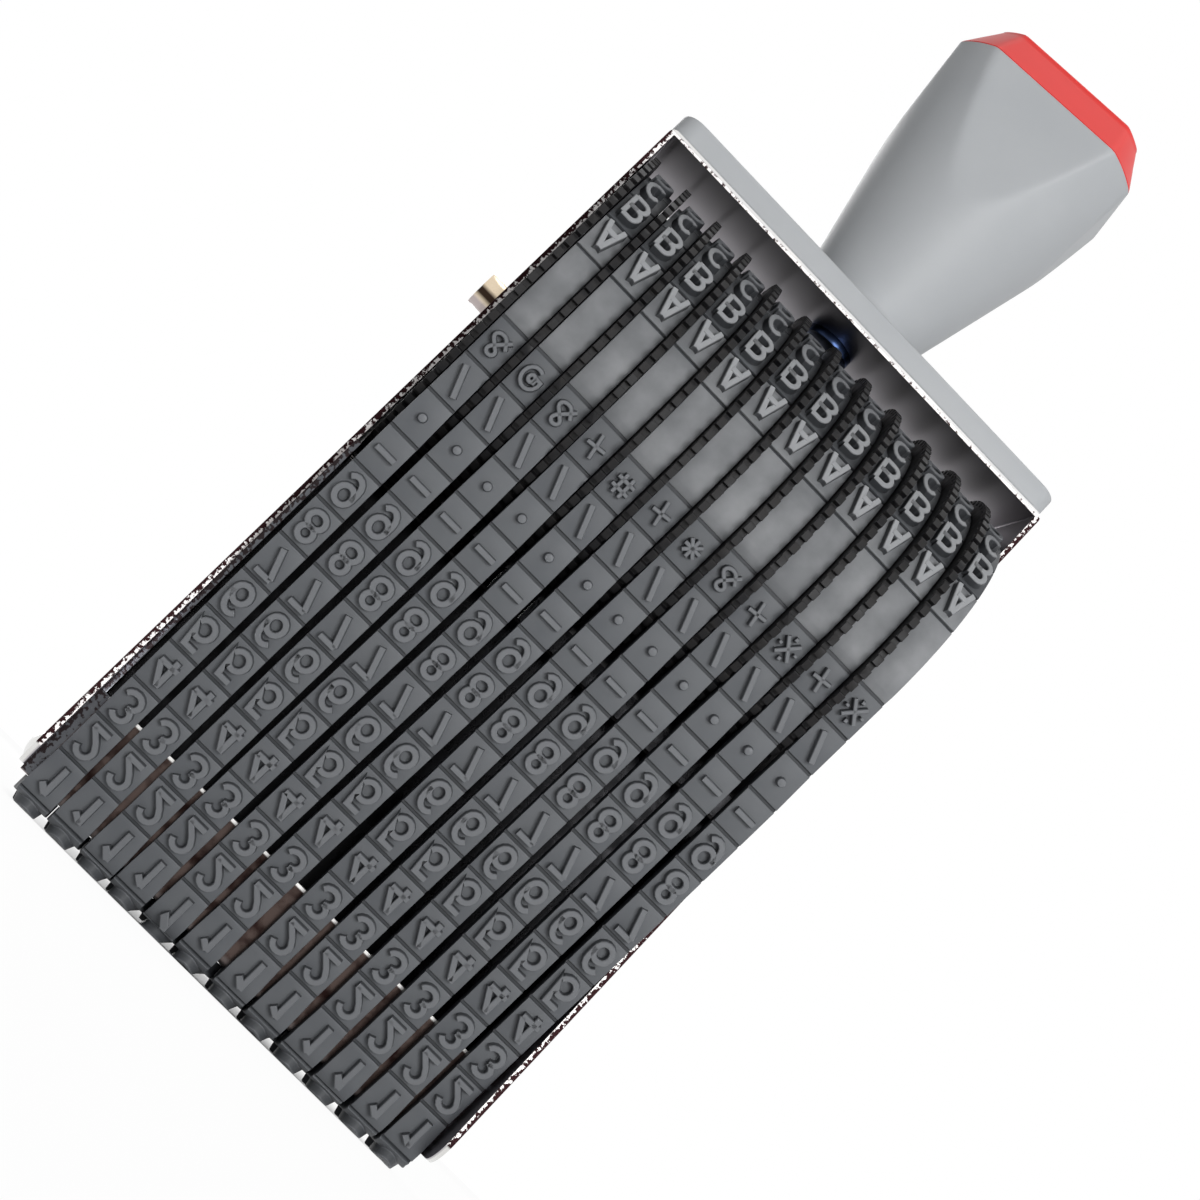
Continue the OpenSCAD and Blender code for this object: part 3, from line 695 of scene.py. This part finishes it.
# Grey of the grooves' painted shade, and of the painted shade on the drums and the type's walls
GROOVE_SHADE_GREY, PAINTED_SHADE_GREY = (0.030, 0.032, 0.036), (0.036, 0.038, 0.042)
SPLICE_GREY, SPLICE_PALE = (0.152, 0.158, 0.166), (0.228, 0.234, 0.243)
DIGIT_FACE, LETTER_FACE_HIGHLIGHT = (0.158, 0.164, 0.174), (0.330, 0.338, 0.350)
HANDLED_SCALE, HANDLED_DETAIL, HANDLED_RANGE = 150.0, 4.0, (0.38, 0.66)
# Where along the relief, from belt to type face, the groove ends, the type's walls run and its face starts
GROOVE_END, WALL_START, WALL_END, FACE_START = (0.46, 0.63), (0.655, 0.70), (0.90, 0.97), (0.94, 1.0)
DRUM_SHADE_SHARE, WALL_SHADE_SHARE, FACE_SHARE = 0.75, 0.55, 0.75
# Heights over the axle where the painted shade on the drums starts, and where the letters' painted
# highlight starts and ends
DRUM_SHADE_FROM, LETTER_HIGHLIGHT_FROM, LETTER_HIGHLIGHT_TO = (11.5, 13.0), (2, 8), (17, 24)
grey_rubber, rubber_tree, rubber_shader, rubber_colour = moulded_finish("grey rubber", *RUBBER_FINISH)
relief_at = add_node(rubber_tree, "ShaderNodeAttribute", attribute_name="relief").outputs["Fac"]
splice_at = add_node(rubber_tree, "ShaderNodeAttribute", attribute_name="splice").outputs["Fac"]
over_axle = arithmetic(rubber_tree, "SUBTRACT", place_axis(rubber_tree, "Z"), AXLE_Z * MM)
over_axle = arithmetic(rubber_tree, "DIVIDE", over_axle, MM)
groove = ramp(rubber_tree, relief_at, *GROOVE_END, 1.0, 0.0)
handled = noise_node(rubber_tree, object_place(rubber_tree), HANDLED_SCALE, HANDLED_DETAIL).outputs["Fac"]
handled = ramp(rubber_tree, handled, *HANDLED_RANGE, 0.0, 1.0)
splice_paint = two_tones(rubber_tree, handled, SPLICE_GREY, SPLICE_PALE)
# Painted shade darkens the grooves, the bands high on the drums and the walls of the type.
# The faces of the type are paler, and on the drums the letters' faces carry a painted highlight.
drum_shade = ramp(rubber_tree, over_axle, *DRUM_SHADE_FROM, 0.0, DRUM_SHADE_SHARE)
wall_up = ramp(rubber_tree, relief_at, *WALL_START, 0.0, 1.0)
wall_down = ramp(rubber_tree, relief_at, *WALL_END, WALL_SHADE_SHARE, 0.0)
wall_shade = arithmetic(rubber_tree, "MULTIPLY", wall_up, wall_down)
# A painted highlight on the faces of the letters on the drums
highlight_up = ramp(rubber_tree, over_axle, *LETTER_HIGHLIGHT_FROM, 0.0, 1.0)
highlight_down = ramp(rubber_tree, over_axle, *LETTER_HIGHLIGHT_TO, 1.0, 0.0)
letter_highlight_share = arithmetic(rubber_tree, "MULTIPLY", highlight_up, highlight_down)
face_and_highlight = two_tones(rubber_tree, letter_highlight_share, DIGIT_FACE, LETTER_FACE_HIGHLIGHT)
faces = ramp(rubber_tree, relief_at, *FACE_START, 0.0, FACE_SHARE)
repaint(rubber_tree, rubber_shader, rubber_colour, (groove, GROOVE_SHADE_GREY), (splice_at, splice_paint),
        (drum_shade, PAINTED_SHADE_GREY), (wall_shade, PAINTED_SHADE_GREY), (faces, face_and_highlight))

FRONT_CELLS = "0123456789-./"
LETTERS = "ABCDEFGHIJKLMNOPQRSTUVWXYZ"
# What each band shows in the cell below its splice, and how far it was set past its neighbours
BAND_SIGNS = "&@&x#x*&x%x%"
BAND_TURNS = (0.0, 0.25, -0.2, 0.1, -0.9, 0.15, -0.1, 0.2, 0.0, -0.25, 0.1, 0.3)
# How far each band has run sideways at the print end
BAND_WANDER = (0.12, -0.16, -0.34, -0.82, -0.87, -1.03, -0.38, -0.48, -0.29, -0.18, -0.06, -0.30)
sections = {stroke: stroke_section(stroke) for stroke in (CHAR_STROKE, SLIM_STROKE)}
characters = {".": dot_mesh()}
for sign in STROKES:
    stroke = SLIM_STROKE if sign in SMALL_SIGNS else CHAR_STROKE
    characters[sign] = character_mesh(sign, sections[stroke], stroke)
mirrored = Matrix.Diagonal((1, -1, 1, 1))
for number in range(1, WHEEL_COUNT + 1):
    node_name = f"type_band_{number:02d}"
    low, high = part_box(node_name)
    shift = BAND_SHIFT + BAND_TURNS[number - 1]
    band = bmesh.new()
    band_strip(band, shift)
    signs = FRONT_CELLS + BAND_SIGNS[number - 1] + " " * BLANK_CELLS + LETTERS
    for cell, sign in enumerate(signs):
        if sign == " ":
            continue
        placed = characters[sign].copy()
        placed.transform(Matrix.Translation((0, shift + cell * CELL_L, PAD_FACE)) @ mirrored)
        band.from_mesh(placed)
        bpy.data.meshes.remove(placed)
    wrap_band(band, shift, (low.x + high.x) / 2 / MM, BAND_WANDER[number - 1])
    piece = finish_piece(band, f"rubber_band_{number:02d}", grey_rubber, "stamp", "band_rubber", node_name)
    smooth_below(piece)
for section in sections.values():
    bpy.data.objects.remove(section)

# Handle: one grey moulding, a flat base over the top plate and a round neck that flares to the grip.
# Four flats cut into the flare and fade out towards the neck; a screw from below pulls the base down.
# All sizes but the screw's are in millimetres.
handle_low, handle_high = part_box("handle")
BASE_Z, BASE_T, BASE_R, BASE_EDGE = handle_low.z / MM, 3.4, 3.0, 0.3
BASE_W, BASE_D = (handle_high.x - handle_low.x) / MM, 24.0
GRIP_Z, GRIP_TOP = BASE_Z + BASE_T, handle_high.z / MM
GRIP_SINK, GRIP_EDGE, JOINT_IN = 0.3, 0.1, 0.12
FOOT_H, FOOT_OUT, FOOT_STEPS, GRIP_STEPS = 1.5, 1.1, 6, 36
NECK_R, FLARE_R = 9.4, 18.6
GRIP_LOW_W, GRIP_W, GRIP_D = 26.0, 32.4, 30.0
GRIP_TURN = math.radians(-11)
RING_SIDES, RING_R, CRISPNESS = 192, 10.0, 160.0
GREY_FINISH = ((0.372, 0.386, 0.402), (0.405, 0.418, 0.432), (0.42, 0.52), 2200.0, 45.0, 0.008 * MM)
ZINC_FINISH = ((0.05, 0.09, 0.22), (0.02, 0.03, 0.06), (0.18, 0.34), 0.02 * MM)
SCREW_EDGE = 0.2 * MM


def flatted_reach(width, depth, radius):
    """Reach, at each angle, of a round body with four flats, whose edges are a little soft."""
    def reach(angle):
        turned = angle - GRIP_TURN
        parts = (2 * abs(math.cos(turned)) / width, 2 * abs(math.sin(turned)) / depth, 1 / radius)
        return sum(part ** CRISPNESS for part in parts) ** (-1 / CRISPNESS)
    return reach


def inset_reach(inset):
    return flatted_reach(GRIP_W - 2 * inset, GRIP_D - 2 * inset, FLARE_R - inset)


def grip_reach(z):
    share = (z - GRIP_Z) / (GRIP_TOP - GRIP_Z)
    ends = ((GRIP_LOW_W, GRIP_W), (GRIP_LOW_W, GRIP_D), (NECK_R, FLARE_R))
    body = flatted_reach(*[low + (high - low) * share for low, high in ends])
    foot = max(0.0, 1 - (z - GRIP_Z) / FOOT_H)
    return lambda angle: body(angle) + FOOT_OUT * foot * foot


def set_ring(ring_edges, z, reach):
    for v in {v for e in ring_edges for v in e.verts}:
        angle = math.atan2(v.co.y, v.co.x)
        size = reach(angle)
        v.co = (size * math.cos(angle), size * math.sin(angle), z)


def ringed_body(bm, levels):
    """Closed body from rings given as height and reach, the first at the bottom."""
    bmesh.ops.create_circle(bm, cap_ends=False, radius=RING_R, segments=RING_SIDES)
    bottom = bm.edges[:]
    set_ring(bottom, *levels[0])
    edges = bottom
    for z, reach in levels[1:]:
        grown = bmesh.ops.extrude_edge_only(bm, edges=edges)["geom"]
        new_verts = set(of_kind(BMVert, grown))
        edges = [e for e in of_kind(BMEdge, grown) if all(v in new_verts for v in e.verts)]
        set_ring(edges, z, reach)
    bmesh.ops.contextual_create(bm, geom=bottom)
    bmesh.ops.contextual_create(bm, geom=edges)


def climb(edge):
    return abs(edge.verts[0].co.z - edge.verts[1].co.z)


grey_plastic = moulded_finish("grey plastic", *GREY_FINISH)[0]
foot_top, edge_z = GRIP_Z + FOOT_H, GRIP_TOP - GRIP_EDGE
heights = [GRIP_Z - GRIP_SINK]
heights += [GRIP_Z + FOOT_H * step / FOOT_STEPS for step in range(FOOT_STEPS + 1)]
heights += [foot_top + (edge_z - foot_top) * step / GRIP_STEPS for step in range(1, GRIP_STEPS + 1)]
grip_levels = [(z, grip_reach(z)) for z in heights]
grip_levels.append((GRIP_TOP, inset_reach(JOINT_IN)))
grip = bmesh.new()
ringed_body(grip, grip_levels)
base = bmesh.new()
square_block(base, (BASE_W, BASE_D, BASE_T), (0, 0, BASE_Z + BASE_T / 2))
round_edges(base, [e for e in base.edges if climb(e) > BASE_T / 2], BASE_R, segments=8)
round_edges(base, [e for e in base.edges if climb(e) < BASE_T / 2], BASE_EDGE, segments=3)
base_mesh = bpy.data.meshes.new("handle base")
base.to_mesh(base_mesh)
base.free()
grip.from_mesh(base_mesh)
bpy.data.meshes.remove(base_mesh)
smooth_below(finish_piece(grip, "handle_moulding", grey_plastic, "stamp", "handle_plastic", "handle"))
blue_zinc = metal_finish("blue zinc", *ZINC_FINISH)[0]
dress("handle_screw", blue_zinc, SCREW_EDGE, turned=True)

# Cap: a red moulding that plugs the top of the grip, with sloping sides and a softly rounded top.
# A fine joint line shows where it meets the grip. Sizes are in millimetres, shares of the cap's height.
CAP_Z, CAP_H = GRIP_TOP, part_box("cap")[1].z / MM - GRIP_TOP
CAP_SLOPE, CAP_GAP, EDGE_IN = 3.6, 0.01, 0.8
SIDE_SHARE, EDGE_SHARE = 0.02, 0.9
SIDE_STEPS, EDGE_STEPS = 8, 5
RED_FINISH = ((0.680, 0.030, 0.025), (0.730, 0.038, 0.032), (0.36, 0.46), 2200.0, 60.0, 0.008 * MM)
red_plastic = moulded_finish("red plastic", *RED_FINISH)[0]
cap_levels = [(CAP_Z + CAP_GAP, inset_reach(JOINT_IN))]
for step in range(SIDE_STEPS + 1):
    share = SIDE_SHARE + (EDGE_SHARE - SIDE_SHARE) * step / SIDE_STEPS
    cap_levels.append((CAP_Z + CAP_H * share, inset_reach(CAP_SLOPE * share)))
for step in range(1, EDGE_STEPS + 1):
    turn = math.pi / 2 * step / EDGE_STEPS
    share = EDGE_SHARE + (1 - EDGE_SHARE) * math.sin(turn)
    inset = CAP_SLOPE * EDGE_SHARE + EDGE_IN * (1 - math.cos(turn))
    cap_levels.append((CAP_Z + CAP_H * share, inset_reach(inset)))
cap = bmesh.new()
ringed_body(cap, cap_levels)
smooth_below(finish_piece(cap, "cap_moulding", red_plastic, "stamp", "cap_plastic", "cap"))

# Studio: a pale floor, soft white surroundings and four soft lamps: key, fill, back and top.
# The camera looks a little up at the digits, turned so that the handle points to the upper right.
CAMERA_YAW, CAMERA_PITCH, CAMERA_ROLL = math.radians(5.587), math.radians(12.26), math.radians(44.53)
CAMERA_PLACE = Vector((-28.3, -312.67, 5.92)) * MM
CAMERA_CLIP = 10 * MM
FOCAL_PIXELS, PICTURE_PIXELS, SENSOR_MM = 2332.9, 1200, 36.0
camera_data = bpy.data.cameras.new("camera")
camera_data.sensor_width = SENSOR_MM
camera_data.lens = FOCAL_PIXELS / PICTURE_PIXELS * SENSOR_MM
camera_data.clip_start = CAMERA_CLIP
camera = bpy.data.objects.new("camera", camera_data)
bpy.context.scene.collection.objects.link(camera)
ahead = math.cos(CAMERA_PITCH)
sight = Vector((math.sin(CAMERA_YAW) * ahead, math.cos(CAMERA_YAW) * ahead, math.sin(CAMERA_PITCH)))
level = Vector((math.cos(CAMERA_YAW), -math.sin(CAMERA_YAW), 0))
rise = level.cross(sight)
right = math.cos(CAMERA_ROLL) * level + math.sin(CAMERA_ROLL) * rise
up = math.cos(CAMERA_ROLL) * rise - math.sin(CAMERA_ROLL) * level
camera.matrix_world = Matrix.Translation(CAMERA_PLACE) @ Matrix((right, up, -sight)).transposed().to_4x4()
bpy.context.scene.camera = camera

# The floor looks white, but in an oval under and behind the print end it shows its own shade
FLOOR_HALF, FLOOR_WHITE = 3.0, 0.96
FLOOR_GREY, FLOOR_ROUGH = (0.86, 0.86, 0.86, 1.0), 0.8
SHADE_FROM, SHADE_FULL = -7 * MM, -5 * MM
SHADE_HALF_W, SHADE_HALF_L, SHADE_Y, SHADE_FADE = 37 * MM, 90 * MM, 20 * MM, (0.1, 1.0)


def seen_directly(tree):
    """1 for what the camera sees, also in a reflection or through something clear."""
    rays = add_node(tree, "ShaderNodeLightPath").outputs
    seen = arithmetic(tree, "MAXIMUM", rays["Is Camera Ray"], rays["Is Glossy Ray"])
    return arithmetic(tree, "MAXIMUM", seen, rays["Is Transmission Ray"])


floor_mesh = bpy.data.meshes.new("floor")
floor_bm = bmesh.new()
bmesh.ops.create_grid(floor_bm, x_segments=1, y_segments=1, size=FLOOR_HALF)
floor_bm.to_mesh(floor_mesh)
floor_bm.free()
floor = bpy.data.objects.new("floor", floor_mesh)
bpy.context.scene.collection.objects.link(floor)
floor_paint, paint_tree, paint_shader = new_finish("pale floor")
paint_shader.inputs["Base Color"].default_value = FLOOR_GREY
paint_shader.inputs["Roughness"].default_value = FLOOR_ROUGH
glow = add_node(paint_tree, "ShaderNodeEmission")
blend_in = add_node(paint_tree, "ShaderNodeMixShader")
floor_along = place_axis(paint_tree, "Y")
behind = ramp(paint_tree, floor_along, SHADE_FROM, SHADE_FULL, 0.0, 1.0)
share_x = arithmetic(paint_tree, "DIVIDE", place_axis(paint_tree, "X"), SHADE_HALF_W)
share_y = arithmetic(paint_tree, "SUBTRACT", floor_along, SHADE_Y)
share_y = arithmetic(paint_tree, "DIVIDE", share_y, SHADE_HALF_L)
square_x = arithmetic(paint_tree, "MULTIPLY", share_x, share_x)
square_y = arithmetic(paint_tree, "MULTIPLY", share_y, share_y)
oval = ramp(paint_tree, arithmetic(paint_tree, "ADD", square_x, square_y), *SHADE_FADE, 1.0, 0.0)
shaded = arithmetic(paint_tree, "MULTIPLY", behind, oval)
white_share = ramp(paint_tree, shaded, 0.0, 1.0, FLOOR_WHITE, 0.0)
white_share = arithmetic(paint_tree, "MULTIPLY", seen_directly(paint_tree), white_share)
paint_tree.links.new(white_share, blend_in.inputs["Fac"])
paint_tree.links.new(paint_shader.outputs["BSDF"], blend_in.inputs[1])
paint_tree.links.new(glow.outputs["Emission"], blend_in.inputs[2])
paint_tree.links.new(blend_in.outputs["Shader"], paint_tree.nodes["Material Output"].inputs["Surface"])
floor_mesh.materials.append(floor_paint)

# The surroundings look white too, but light the object less
SKY_WHITE, SKY_LIGHT = (1.0, 1.0, 1.0, 1.0), 0.22
world = bpy.data.worlds.new("white studio")
bpy.context.scene.world = world
world.use_nodes = True
sky_tree = world.node_tree
sky = sky_tree.nodes["Background"]
sky.inputs["Color"].default_value = SKY_WHITE
sky_strength = ramp(sky_tree, seen_directly(sky_tree), 0.0, 1.0, SKY_LIGHT, 1.0)
sky_tree.links.new(sky_strength, sky.inputs["Strength"])
LAMP_AIM = Vector((0, 0, 0.09))


def soft_lamp(name, place, size, watts):
    lamp_data = bpy.data.lights.new(name, "AREA")
    lamp_data.shape = "DISK"
    lamp_data.size = size
    lamp_data.energy = watts
    lamp = bpy.data.objects.new(name, lamp_data)
    bpy.context.scene.collection.objects.link(lamp)
    lamp.location = place
    aim = LAMP_AIM - Vector(place)
    lamp.rotation_euler = aim.to_track_quat("-Z", "Y").to_euler()


soft_lamp("key", (0.28, -1.0, 0.16), 0.45, 8.0)
soft_lamp("fill", (0.55, -0.60, 0.80), 0.6, 1.6)
soft_lamp("back", (-0.30, 1.0, 0.40), 0.7, 4.0)
soft_lamp("top", (0.0, 0.35, 1.20), 0.7, 2.2)
bpy.context.scene.view_settings.view_transform = "Standard"
